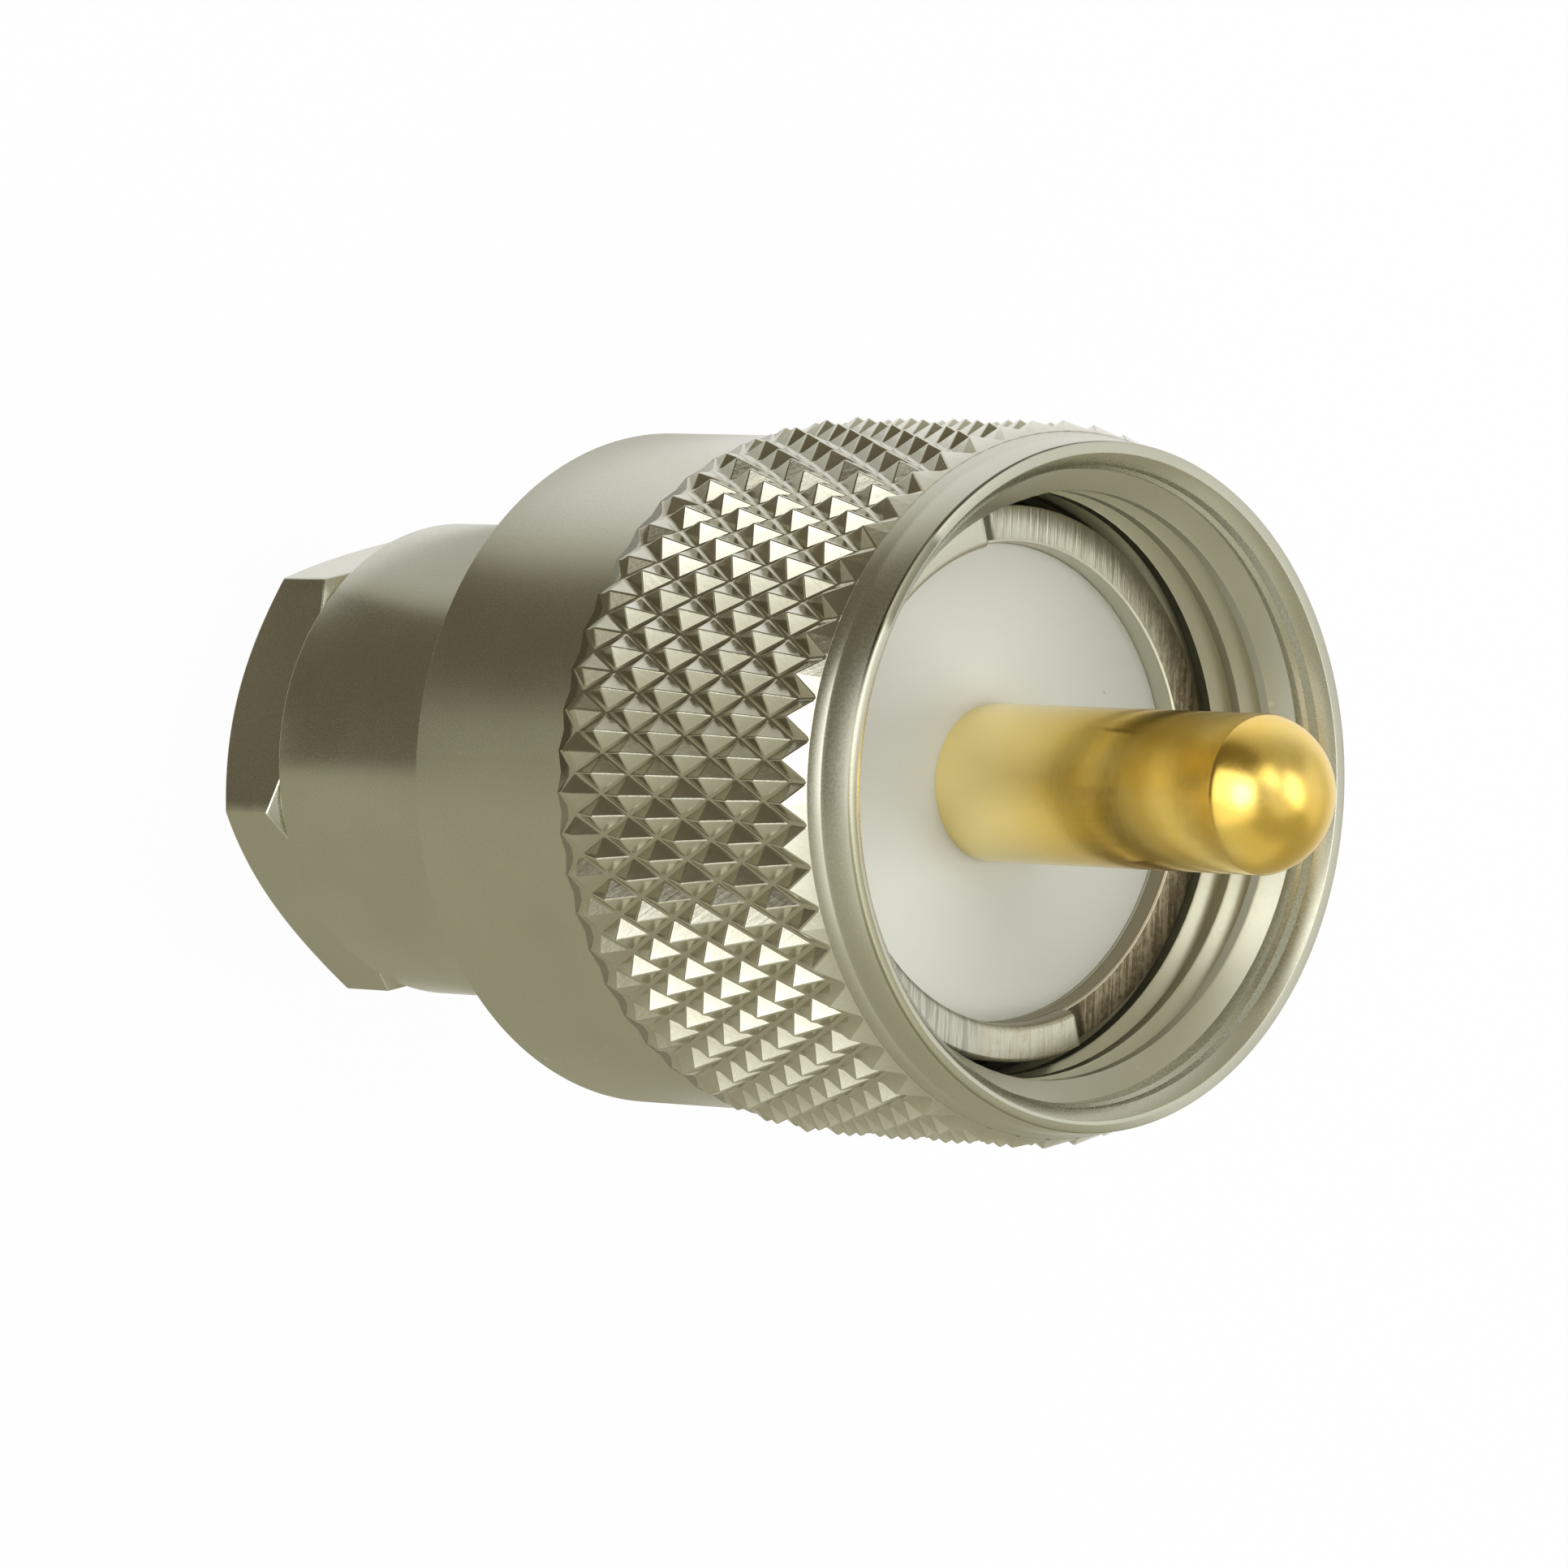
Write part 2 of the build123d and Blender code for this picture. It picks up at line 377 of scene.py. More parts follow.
@dataclass(frozen=True)
class KnurledNickel:
    """Nickel on the rolled knurl, with fine lines along its two sets of grooves."""

    name: str = "knurled_nickel"
    # light is painted light on the ridges, dark is painted shade in the grooves
    light: Colour = (0.74, 0.73, 0.64)
    dark: Colour = (0.60, 0.58, 0.49)
    rough: float = 0.16
    rough_grain: float = 0.1
    root_r: float = 8.80
    tip_r: float = 9.17
    mean_r: float = 8.95
    per_mm: float = 6.0
    slope: float = 3.27
    drift: float = 0.2
    line: Grain = (1.0, 2.0)
    line_band: Band = (0.55, 0.64)
    line_share: float = 0.35
    grain: Grain = (8.0, 3.0, 0.6)
    heights: Triple = (0.5, 0.35, 0.4)
    depth: float = 0.005

    def build(self) -> Material:
        """Builds the material: painted shade that darkens the grooves and painted light on the ridges."""
        tree = ShaderTree(self.name)
        spot = tree.place()
        x, y, z = tree.axes(spot)
        # painted shade and light: 0 at the groove floors, 1 at the tips
        high = radial(x, y).step(self.root_r, self.tip_r)
        lead = tree.math("ARCTAN2", y, x) * self.mean_r * self.per_mm
        drift = z * self.drift
        lines = tree.noise(tree.vector(X=lead + z * self.slope, Y=drift), *self.line)
        cross = tree.noise(tree.vector(X=lead - z * self.slope, Y=drift), *self.line)
        grain = tree.noise(spot, *self.grain)
        height = lines * self.heights[0] + cross * self.heights[1] + grain * self.heights[2]
        colour = tree.blend(high, self.dark, self.light)
        colour = tree.blend(lines.step(*self.line_band) * self.line_share, colour, self.dark)
        return tree.metal(colour, self.rough + (grain - 0.5) * self.rough_grain, height, self.depth)


@dataclass(frozen=True)
class MilledRing:
    """Front ring: plated on its high half, roughly milled on its low half."""

    name: str = "milled_ring"
    light: Colour = (0.64, 0.63, 0.53)
    worn: Colour = (0.18, 0.145, 0.09)
    rubbed: Colour = (0.36, 0.32, 0.23)
    streak: Colour = (0.40, 0.36, 0.27)
    shadow: Colour = (0.07, 0.06, 0.04)
    stain: Colour = (0.50, 0.42, 0.29)
    dull_dark: Colour = (0.40, 0.40, 0.35)
    dull_light: Colour = (0.60, 0.59, 0.52)
    wall: Colour = (0.34, 0.30, 0.22)
    turn: float = 17.8
    wear_turn: float = 35.0
    low_z: float = 23.56
    low_half: float = 0.05
    high_off: float = 0.1
    edge_r: float = 6.15
    step_off: float = 0.40
    mark_scale: Triple = (9.0, 0.5, 1.0)
    mark: Grain = (1.0, 3.0, 0.6)
    grain: Grain = (6.0, 4.0, 0.6)
    blot: Grain = (0.35, 4.0, 0.6)
    worn_blot: float = 6.0
    worn_band: Band = (-1.5, 5.5)
    rubbed_band: Band = (0.42, 0.58)
    streak_band: Band = (0.47, 0.6)
    streak_share: float = 0.45
    shade: float = 0.72
    shade_soft: float = 0.15
    shade_share: float = 0.9
    stain_band: Band = (0.55, 0.62)
    stain_share: float = 0.3
    dull_blot: float = 2.0
    dull_band: Band = (1.4, 2.2)
    dull_marks: Band = (0.4, 0.6)
    wall_half: float = 0.5
    rough: float = 0.33
    rough_worn: float = 0.18
    rough_grain: float = 0.12
    depth: float = 0.012

    def build(self) -> Material:
        """Builds the material: straight milling marks, wear, shade at the step and dull spots."""
        tree = ShaderTree(self.name)
        spot = tree.place()
        z = tree.axes(spot)[2]
        marks = tree.noise(tree.place(scale=self.mark_scale, turn=-radians(self.turn)), *self.mark)
        grain = tree.noise(spot, *self.grain)
        blot = tree.noise(spot, *self.blot)
        x, y, _ = tree.axes(tree.place(turn=-radians(self.wear_turn)))
        radius = radial(x, y)
        # the milled face of the low half
        low = (z < self.low_z + self.low_half) * (z > self.low_z - self.low_half) * (radius > self.edge_r)
        worn = low * (y * -1.0 + blot * self.worn_blot).step(*self.worn_band)
        mixed = marks * 0.6 + grain * 0.4
        rubbed = tree.blend(mixed.step(*self.rubbed_band), self.worn, self.rubbed)
        streaks = marks.step(*self.streak_band) * self.streak_share
        colour = tree.blend(low * streaks, self.light, self.streak)
        colour = tree.blend(worn, colour, rubbed)
        # the shade in the corner of the step
        x, y, _ = tree.axes(spot)
        beyond = toward(x, y, self.turn) - self.step_off
        shade = 1.0 - beyond.step(self.shade - self.shade_soft, self.shade)
        colour = tree.blend(low * shade * self.shade_share, colour, self.shadow)
        # stains and dull spots on the plated half
        side = (z > self.low_z + self.high_off) * (y < 0.0)
        stained = streaks + grain.step(*self.stain_band) * self.stain_share
        colour = tree.blend(side * stained, colour, self.stain)
        dull = side * (x * -1.0 + blot * self.dull_blot).step(*self.dull_band)
        dulled = tree.blend(marks.step(*self.dull_marks), self.dull_dark, self.dull_light)
        colour = tree.blend(dull, colour, dulled)
        # the wall of the bore
        wall = (radius < self.edge_r - 0.02) * (y < self.wall_half) * (z > self.low_z - self.wall_half)
        colour = tree.blend(wall * (x * 0.25 + 0.75).clamp(), colour, self.wall)
        height = marks * (0.25 + low) + grain * (0.3 + worn)
        rough = self.rough + worn * self.rough_worn + (grain - 0.5) * self.rough_grain
        return tree.metal(colour, rough, height, self.depth)


@dataclass(frozen=True)
class SatinGold:
    """Satin gold plate on the centre pin, rougher on its dome, with a painted reflection of the white
    insulator that makes it paler towards its foot.
    """

    name: str = "satin_gold"
    colour: Colour = (0.93, 0.635, 0.14)
    pale: Colour = (0.95, 0.715, 0.24)
    # painted reflection of the white insulator on the pin's foot
    painted_reflection: Colour = (0.98, 0.835, 0.41)
    base: Band = (23.5, 28.0)
    dome: Band = (32.5, 33.0)
    turning_scale: Triple = (0.05, 0.05, 7.0)
    turning_grain: Grain = (1.0, 3.0, 0.6)
    grain: Grain = (6.0, 4.0, 0.6)
    slow: Grain = (0.5, 3.0)
    slow_band: Band = (0.35, 0.7)
    rough: float = 0.17
    rough_dome: float = 0.09
    rough_grain: float = 0.12
    rough_slow: float = 0.10
    depth: float = 0.0030

    def build(self) -> Material:
        """Builds the material: fine turning marks round the pin."""
        tree = ShaderTree(self.name)
        spot = tree.place()
        lines = tree.noise(tree.place(scale=self.turning_scale), *self.turning_grain)
        grain = tree.noise(spot, *self.grain)
        slow = tree.noise(spot, *self.slow)
        z = tree.axes(spot)[2]
        domed = z.step(*self.dome) * self.rough_dome
        colour = tree.blend(slow.step(*self.slow_band), self.colour, self.pale)
        # painted reflection: full below the band's low end, fading out by its high end
        colour = tree.blend(z.step(*self.base), self.painted_reflection, colour)
        rough = self.rough + domed + (grain - 0.5) * self.rough_grain + (slow - 0.5) * self.rough_slow
        return tree.metal(colour, rough, lines * 0.4 + grain * 0.6, self.depth)


@dataclass(frozen=True)
class WhitePolymer:
    """Machined off-white insulator, warmer next to the pin."""

    name: str = "white_polymer"
    colour: Colour = (0.70, 0.715, 0.655)
    warm: Colour = (0.74, 0.68, 0.54)
    warm_band: Band = (2.0, 3.6)
    warm_share: float = 0.35
    dirt: Colour = (0.36, 0.33, 0.26)
    dirt_share: float = 0.5
    speck: Grain = (2.3, 2.0)
    speck_band: Band = (0.77, 0.80)
    grain: Grain = (3.0, 4.0, 0.6)
    ring: Grain = (1.0, 2.0)
    rings_per_mm: float = 5.0
    rough: float = 0.42
    rough_grain: float = 0.15
    depth: float = 0.006

    def build(self) -> Material:
        """Builds the material: soft, slightly waxy, with fine turned rings and a few specks."""
        tree = ShaderTree(self.name)
        spot = tree.place()
        x, y, _ = tree.axes(spot)
        radius = radial(x, y)
        rings = tree.noise(tree.vector(X=radius * self.rings_per_mm), *self.ring)
        grain = tree.noise(spot, *self.grain)
        speck = tree.noise(spot, *self.speck).step(*self.speck_band)
        warm = 1.0 - radius.step(*self.warm_band)
        colour = tree.blend(warm * self.warm_share, self.colour, self.warm)
        colour = tree.blend(speck * self.dirt_share, colour, self.dirt)
        return tree.surface(
            Base_Color=colour,
            Roughness=self.rough + (grain - 0.5) * self.rough_grain,
            Subsurface_Weight=0.25,
            Subsurface_Radius=(0.0012, 0.0011, 0.0009),
            Subsurface_Scale=0.6,
            Normal=tree.bump(rings * 0.6 + grain * 0.4, self.depth),
        )


@dataclass(frozen=True)
class PlainFinish:
    """A simple finish for the pieces inside."""

    name: str
    colour: Colour
    metallic: float
    rough: float
    rough_grain: float = 0.1
    shade: float = 0.75
    grain: Grain = (4.0, 3.0, 0.6)
    depth: float = 0.003

    def build(self) -> Material:
        """Builds the material with a little grain."""
        tree = ShaderTree(self.name)
        grain = tree.noise(tree.place(), *self.grain)
        dark = tuple(c * self.shade for c in self.colour)
        return tree.surface(
            Base_Color=tree.blend(grain, dark, self.colour),
            Metallic=self.metallic,
            Roughness=self.rough + (grain - 0.5) * self.rough_grain,
            Normal=tree.bump(grain, self.depth),
        )


def add(name: str, data: Union[bpy.types.Mesh, bpy.types.Light, bpy.types.Camera]) -> Thing:
    """Adds an object with its data to the scene."""
    thing = bpy.data.objects.new(name, data)
    bpy.context.scene.collection.objects.link(thing)
    return thing


class Piece:
    """A mesh under construction, in millimetres."""

    def __init__(self, name: str) -> None:
        """Starts an empty mesh.

        Args:
            name: Name of the object that it becomes.
        """
        self.name = name
        self.bm = bmesh.new()

    def spin(self, profile: Sequence[tuple[float, float]], steps: int, closed: bool = True) -> list:
        """Turns a profile of radius and height round the axis.

        Args:
            profile: Points of the profile.
            steps: Facets in a full turn.
            closed: Whether the last point joins the first.

        Returns:
            The new faces.
        """
        before = set(self.bm.faces)
        verts = [self.bm.verts.new((r, 0.0, z)) for r, z in profile]
        pairs = list(zip(verts, verts[1:]))
        if closed:
            pairs.append((verts[-1], verts[0]))
        edges = [self.bm.edges.new(pair) for pair in pairs]
        bmesh.ops.spin(
            self.bm, geom=verts + edges, cent=(0, 0, 0), axis=(0, 0, 1), dvec=(0, 0, 0),
            angle=TURN, steps=steps, use_merge=True,
        )
        bmesh.ops.remove_doubles(self.bm, verts=self.bm.verts[:], dist=1e-5)
        faces = [f for f in self.bm.faces if f not in before]
        bmesh.ops.recalc_face_normals(self.bm, faces=faces)
        return faces

    def outward(self) -> None:
        """Turns all faces to the outside."""
        bmesh.ops.recalc_face_normals(self.bm, faces=self.bm.faces[:])

    def circle(self, count: int, turn: float) -> list:
        """Makes a ring of vertices of radius 1, turned by an angle in radians."""
        ring = bmesh.ops.create_circle(self.bm, segments=count, radius=1.0, cap_ends=False)["verts"]
        bmesh.ops.rotate(self.bm, verts=ring, cent=(0, 0, 0), matrix=Matrix.Rotation(turn, 3, "Z"))
        return ring

    def grow(self, edges: list) -> tuple[list, list]:
        """Extrudes edges and returns the new vertices and the new edges."""
        grown = bmesh.ops.extrude_edge_only(self.bm, edges=edges)["geom"]
        verts = [g for g in grown if isinstance(g, bmesh.types.BMVert)]
        return verts, [g for g in grown if isinstance(g, bmesh.types.BMEdge)]

    def bevel(self, edges: list, width: float, segments: int = 2) -> None:
        """Bevels edges by a width in a number of steps."""
        bmesh.ops.bevel(
            self.bm, geom=edges, offset=width, offset_type="OFFSET", segments=segments,
            profile=0.5, affect="EDGES", clamp_overlap=True, material=-1,
        )

    def soften(self, width: float, segments: int = 2, over: float = 25.0, test: Callable = None) -> None:
        """Bevels the sharp edges.

        Args:
            width: Width of the bevel.
            segments: Its number of steps.
            over: Edges sharper than this, in degrees, are bevelled.
            test: Takes an edge and says whether it may be bevelled.
        """
        limit = radians(over)
        sharp = [
            e for e in self.bm.edges
            if e.is_manifold and e.calc_face_angle(0.0) > limit and (test is None or test(e))
        ]
        self.bevel(sharp, width, segments)

    def crease(self, over: float) -> None:
        """Keeps edges crisp in smooth shading.

        Args:
            over: Edges sharper than this, in degrees, are crisp.
        """
        for edge in self.bm.edges:
            edge.smooth = edge.calc_face_angle(0.0) < radians(over)

    def make(self, material: Material, facet: float = inf) -> Thing:
        """Makes the object, in metres.

        Args:
            material: Its material.
            facet: Faces of at least this area, in square millimetres, are shaded flat.

        Returns:
            The object, at the origin.
        """
        bmesh.ops.scale(self.bm, vec=(MM, MM, MM), verts=self.bm.verts[:])
        mesh = bpy.data.meshes.new(self.name)
        self.bm.to_mesh(mesh)
        self.bm.free()
        for polygon in mesh.polygons:
            polygon.use_smooth = polygon.area < facet * MM * MM
        mesh.materials.append(material)
        thing = add(self.name, mesh)
        if facet == inf:
            normals = thing.modifiers.new("even_normals", "WEIGHTED_NORMAL")
            normals.mode = "FACE_AREA"
            normals.weight = 100
        LOG.info("%s: %d faces", self.name, len(mesh.polygons))
        return thing


def seat(thing: Thing, body: str, node: str) -> Thing:
    """Lets a piece ride on a body in place of a node.

    Args:
        thing: The piece.
        body: Body that it moves with.
        node: Node that it stands for.

    Returns:
        The piece.
    """
    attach(thing, body)
    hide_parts(node)
    return thing


@dataclass
class CouplingNut:
    """The knurled nut with its mouth, thread and rear lip."""

    rim_z: float = 26.93
    rear_z: float = 10.87
    skirt_r: float = 8.63
    rim_r: float = 8.65
    rim_bevel: float = 0.84
    neck_r: float = 8.78
    core_r: float = 8.60
    root_r: float = 8.80
    core_sink: float = 0.15
    tip_r: float = 9.17
    inset: float = 1.31
    end_flare: float = 0.11
    end_gap: float = 0.02
    neck_taper: Triple = (0.03, 0.05, 0.12)
    edge: float = 0.03
    edge_over: float = 4.0
    teeth: int = 53
    rows: int = 9
    half_row: float = 0.987
    first_row: float = 0.72
    last_row: float = 0.474
    last_drop: float = 0.15
    turn: float = 1.40
    groove_floor_r: float = 8.72
    floor_half: float = 0.08
    valley: float = -0.3
    ridge: float = 0.5
    worn: float = 0.035
    uneven: float = 0.02
    seed: int = 5
    knurl_facet: float = 0.12
    mouth_r: float = 8.35
    rim_drop: float = 0.01
    close: float = 0.01
    entry_r: float = 8.05
    entry_deep: Triple = (0.30, 0.60, 0.70)
    wall_r: float = 7.94
    crest_r: float = 7.40
    pitch: float = 1.058
    thread_in: float = 0.93
    thread_turns: float = 8.5
    thread_steps: int = 96
    thread_sink: float = 0.03
    thread_fade: float = 0.2
    thread_facet: float = 0.45
    thread_crease: float = 25.0
    tooth_foot: float = 0.47
    tooth_top: tuple = ((0.03, -0.18), (0.0, -0.15), (0.0, 0.13), (0.04, 0.17))
    lip_z: float = 16.43
    lip_r: float = 5.85
    groove_r: float = 6.45
    groove: Band = (13.13, 14.33)
    steps: int = 216
    nickel: Material = None
    knurled: Material = None
    threaded: Material = None

    def sleeve(self) -> Thing:
        """Builds the turned sleeve that everything else of the nut sits on."""
        piece = Piece("nut_sleeve")
        front, *_, back = self.levels()
        upper, lower, high = self.neck_taper
        chamfer, land, foot = self.entry_deep
        piece.spin([
            (self.lip_r, self.rear_z),
            (self.skirt_r, self.rear_z),
            (self.skirt_r, back),
            (self.core_r, back),
            (self.core_r, front - self.end_gap),
            (self.neck_r + self.end_flare, front - self.end_gap),
            (self.neck_r - upper, self.rim_z - self.rim_bevel - high),
            (self.neck_r - lower, self.rim_z - self.rim_bevel),
            (self.rim_r, self.rim_z - self.rim_drop),
            (self.mouth_r, self.rim_z),
            (self.entry_r, self.rim_z - chamfer),
            (self.entry_r, self.rim_z - land),
            (self.wall_r, self.rim_z - foot),
            (self.wall_r, self.lip_z),
            (self.lip_r, self.lip_z),
            (self.lip_r, self.groove[1]),
            (self.groove_r, self.groove[1]),
            (self.groove_r, self.groove[0]),
            (self.lip_r, self.groove[0]),
        ], self.steps)
        outside = self.lip_r + 0.1
        piece.soften(self.edge, 2, self.edge_over, lambda e: max(v.co.xy.length for v in e.verts) > outside)
        return piece.make(self.nickel)

    def levels(self) -> list[float]:
        """Heights of the knurl's rings from its front end to its rear end."""
        front = self.rim_z - self.inset
        rows = [front - self.first_row - n * self.half_row for n in range(self.rows)]
        return [front, *rows, rows[-1] - self.last_row]

    def knurl(self) -> Thing:
        """Builds the band of pyramids between two sets of helical grooves, its ends chamfered."""
        piece = Piece("nut_knurl")
        bm = piece.bm
        chance = random.Random(self.seed)
        count = 2 * self.teeth
        levels = self.levels()
        last = len(levels) - 1
        floors = {0: self.neck_r + self.end_flare, last: self.root_r}
        start = radians(self.turn)
        ring = piece.circle(count, start - TURN / 4)
        edges = bm.edges[:]
        for row, level in enumerate(levels):
            if row:
                ring, edges = piece.grow(edges)
            drop = self.last_drop if row == last - 1 else 0.0
            for vert in ring:
                column = round((atan2(vert.co.y, vert.co.x) - start) / TURN * count)
                radius = floors.get(row, self.groove_floor_r)
                if (column + row) % 2 == 1 and 0 < row < last:
                    radius = self.tip_r - chance.uniform(0.0, self.uneven) - drop
                vert.co.xy = vert.co.xy.normalized() * radius
                vert.co.z = level
        ends = [f for f in bm.faces if any(abs(v.co.z - levels[0]) < self.close for v in f.verts)]
        bmesh.ops.triangulate(bm, faces=ends, quad_method="LONG_EDGE", ngon_method="BEAUTY")
        bmesh.ops.triangulate(bm, faces=bm.faces[:], quad_method="SHORT_EDGE", ngon_method="BEAUTY")
        piece.outward()
        if sum(f.normal.dot(f.calc_center_median()) for f in bm.faces) < 0:
            bmesh.ops.reverse_faces(bm, faces=bm.faces[:])
        bm.normal_update()
        valleys = [e for e in bm.edges if e.is_manifold and e.calc_face_angle_signed(0.0) < self.valley]
        piece.bevel(valleys, self.floor_half)
        bm.normal_update()
        ridges = [e for e in bm.edges if e.is_manifold and e.calc_face_angle_signed(0.0) > self.ridge]
        piece.bevel(ridges, self.worn)
        rims = [e for e in bm.edges if e.is_boundary]
        inner = []
        for level in (levels[0], levels[-1]):
            loop = [e for e in rims if abs(e.verts[0].co.z - level) < self.half_row / 3]
            ring, edges = piece.grow(loop)
            for vert in ring:
                vert.co.xy = vert.co.xy.normalized() * (self.core_r - self.core_sink)
                vert.co.z = level
            inner += edges
        bmesh.ops.bridge_loops(bm, edges=inner)
        piece.outward()
        return piece.make(self.knurled, facet=self.knurl_facet)

    def thread(self) -> Thing:
        """Builds the 5/8-24 thread's ridge as a screw of one tooth."""
        piece = Piece("nut_thread")
        bm = piece.bm
        turns = self.thread_turns
        low = self.rim_z - self.thread_in - turns * self.pitch
        wall = self.wall_r + self.thread_sink
        tooth = [
            (wall, -self.tooth_foot * self.pitch),
            *((self.crest_r + rise, share * self.pitch) for rise, share in self.tooth_top),
            (wall, self.tooth_foot * self.pitch),
        ]
        verts = [bm.verts.new((r, 0.0, low + z)) for r, z in tooth]
        edges = [bm.edges.new((verts[n], verts[(n + 1) % len(verts)])) for n in range(len(verts))]
        bmesh.ops.spin(
            bm, geom=verts + edges, cent=(0, 0, 0), axis=(0, 0, 1), use_merge=False,
            dvec=(0, 0, self.pitch / self.thread_steps), angle=TURN * turns,
            steps=round(turns * self.thread_steps),
        )
        LOG.info("thread from %.2f to %.2f", low, max(v.co.z for v in bm.verts))
        # both ends of the ridge run out into the wall
        for vert in bm.verts:
            radius = vert.co.xy.length
            angle = atan2(vert.co.y, vert.co.x) % TURN
            lead = (vert.co.z - low) / self.pitch
            nearest = round(lead - angle / TURN) + angle / TURN
            share = min(1.0, max(0.0, min(nearest, turns - nearest) / self.thread_fade))
            vert.co.xy *= (wall - (wall - radius) * share) / radius
        ends = [e for e in bm.edges if e.is_boundary]
        bmesh.ops.holes_fill(bm, edges=ends, sides=0)
        piece.outward()
        piece.crease(self.thread_crease)
        return piece.make(self.threaded, facet=self.thread_facet)

    def build(self) -> list[Thing]:
        """Builds the three pieces of the nut."""
        pieces = (self.sleeve(), self.knurl(), self.thread())
        return [seat(thing, "coupling", "coupling_nut") for thing in pieces]


@dataclass
class PlugBody:
    """Front ring with its neck, and the plain barrel."""

    ring_r: float = 7.00
    bore_r: float = 6.05
    high_z: float = 24.08
    low_z: float = 23.56
    flange_z: float = 21.28
    web_z: float = 21.88
    neck_r: float = 5.60
    shoulder_z: float = 10.77
    spigot_r: float = 5.00
    rear_z: float = 9.13
    way_r: float = 3.60
    shank_r: float = 4.60
    shank_z: float = 13.13
    edge: float = 0.13
    soft_edge: float = 0.04
    half_edge: float = 0.09
    half_over: float = 40.0
    half_sunk: float = 0.2
    step_turn: float = 17.8
    step_off: float = 0.40
    barrel_r: float = 6.16
    barrel_z: float = 2.73
    barrel_edge: float = 0.06
    gland_r: float = 4.75
    steps: int = 180
    ring: Material = None
    nickel: Material = None

    def front(self) -> Thing:
        """Builds the neck and flange, with the raised half ring on top."""
        piece = Piece("front_ring")
        bm = piece.bm
        piece.spin([
            (self.way_r, self.rear_z),
            (self.spigot_r, self.rear_z),
            (self.spigot_r, self.shoulder_z),
            (self.neck_r, self.shoulder_z),
            (self.neck_r, self.flange_z),
            (self.ring_r, self.flange_z),
            (self.ring_r, self.low_z),
            (self.bore_r, self.low_z),
            (self.bore_r, self.web_z),
            (self.shank_r, self.web_z),
            (self.shank_r, self.shank_z),
            (self.way_r, self.shank_z),
        ], self.steps)
        piece.soften(self.soft_edge)
        half = Piece("half_ring")
        sunk = self.low_z - self.half_sunk
        half.spin([
            (self.bore_r, sunk),
            (self.ring_r, sunk),
            (self.ring_r, self.high_z),
            (self.bore_r + self.edge, self.high_z),
            (self.bore_r, self.high_z - self.edge),
        ], self.steps)
        turn = radians(self.step_turn)
        way = Vector((cos(turn), sin(turn), 0.0))
        cut = bmesh.ops.bisect_plane(
            half.bm, geom=half.bm.verts[:] + half.bm.edges[:] + half.bm.faces[:], dist=1e-5,
            plane_co=way * self.step_off, plane_no=way, clear_outer=True, clear_inner=False,
        )
        rim = [g for g in cut["geom_cut"] if isinstance(g, bmesh.types.BMEdge)]
        bmesh.ops.holes_fill(half.bm, edges=rim, sides=0)
        half.outward()
        half.soften(self.half_edge, 3, self.half_over)
        spare = bpy.data.meshes.new("half_ring")
        half.bm.to_mesh(spare)
        half.bm.free()
        bm.from_mesh(spare)
        bpy.data.meshes.remove(spare)
        return piece.make(self.ring)

    def barrel(self) -> Thing:
        """Builds the plain barrel."""
        piece = Piece("barrel")
        piece.spin([
            (self.gland_r, self.barrel_z),
            (self.barrel_r, self.barrel_z),
            (self.barrel_r, self.shoulder_z),
            (self.spigot_r, self.shoulder_z),
            (self.spigot_r, self.rear_z),
            (self.gland_r, self.rear_z),
        ], self.steps)
        piece.soften(self.barrel_edge, 3)
        return piece.make(self.nickel)

    def build(self) -> list[Thing]:
        """Builds both pieces of the body."""
        return [
            seat(self.front(), "shell", "front_body"),
            seat(self.barrel(), "shell", "rear_body"),
        ]


@dataclass
class PinAndInsulator:
    """The gold pin in its white insulator."""

    face_z: float = 23.00
    bore_r: float = 6.05
    web_z: float = 21.88
    shank_r: float = 4.60
    rear_z: float = 13.13
    pin_r: float = 2.00
    seat_r: float = 1.80
    step_z: float = 14.93
    tail_r: float = 1.50
    tail_z: float = 11.53
    cup_r: float = 0.60
    cup_deep: float = 3.20
    dome_z: float = 32.68
    dome_high: float = 1.63
    dome_steps: int = 20
    edge: float = 0.06
    steps: int = 144
    gold: Material = None
    polymer: Material = None

    def pin(self) -> Thing:
        """Builds the pin with its domed end, its shoulder and the solder cup in its tail."""
        piece = Piece("pin")
        ball = (self.pin_r ** 2 + self.dome_high ** 2) / (2 * self.dome_high)
        middle = self.dome_z + self.dome_high - ball
        start = asin(min(1.0, self.pin_r / ball))
        angles = [start * n / self.dome_steps for n in range(self.dome_steps, 0, -1)]
        arc = [(ball * sin(angle), middle + ball * cos(angle)) for angle in angles]
        piece.spin([
            (0.0, self.tail_z + self.cup_deep),
            (self.cup_r, self.tail_z + self.cup_deep),
            (self.cup_r, self.tail_z),
            (self.tail_r, self.tail_z),
            (self.tail_r, self.step_z),
            (self.seat_r, self.step_z),
            (self.seat_r, self.face_z),
            (self.pin_r, self.face_z),
            *arc,
            (0.0, self.dome_z + self.dome_high),
        ], self.steps, closed=False)
        return piece.make(self.gold)

    def insulator(self) -> Thing:
        """Builds the disc and its shank."""
        piece = Piece("insulator_disc")
        piece.spin([
            (self.tail_r, self.rear_z),
            (self.shank_r, self.rear_z),
            (self.shank_r, self.web_z),
            (self.bore_r, self.web_z),
            (self.bore_r, self.face_z),
            (self.seat_r, self.face_z),
            (self.seat_r, self.step_z),
            (self.tail_r, self.step_z),
        ], self.steps)
        piece.soften(self.edge, 3)
        return piece.make(self.polymer)

    def build(self) -> list[Thing]:
        """Builds pin and insulator."""
        return [
            seat(self.pin(), "shell", "centre_pin"),
            seat(self.insulator(), "shell", "insulator"),
        ]


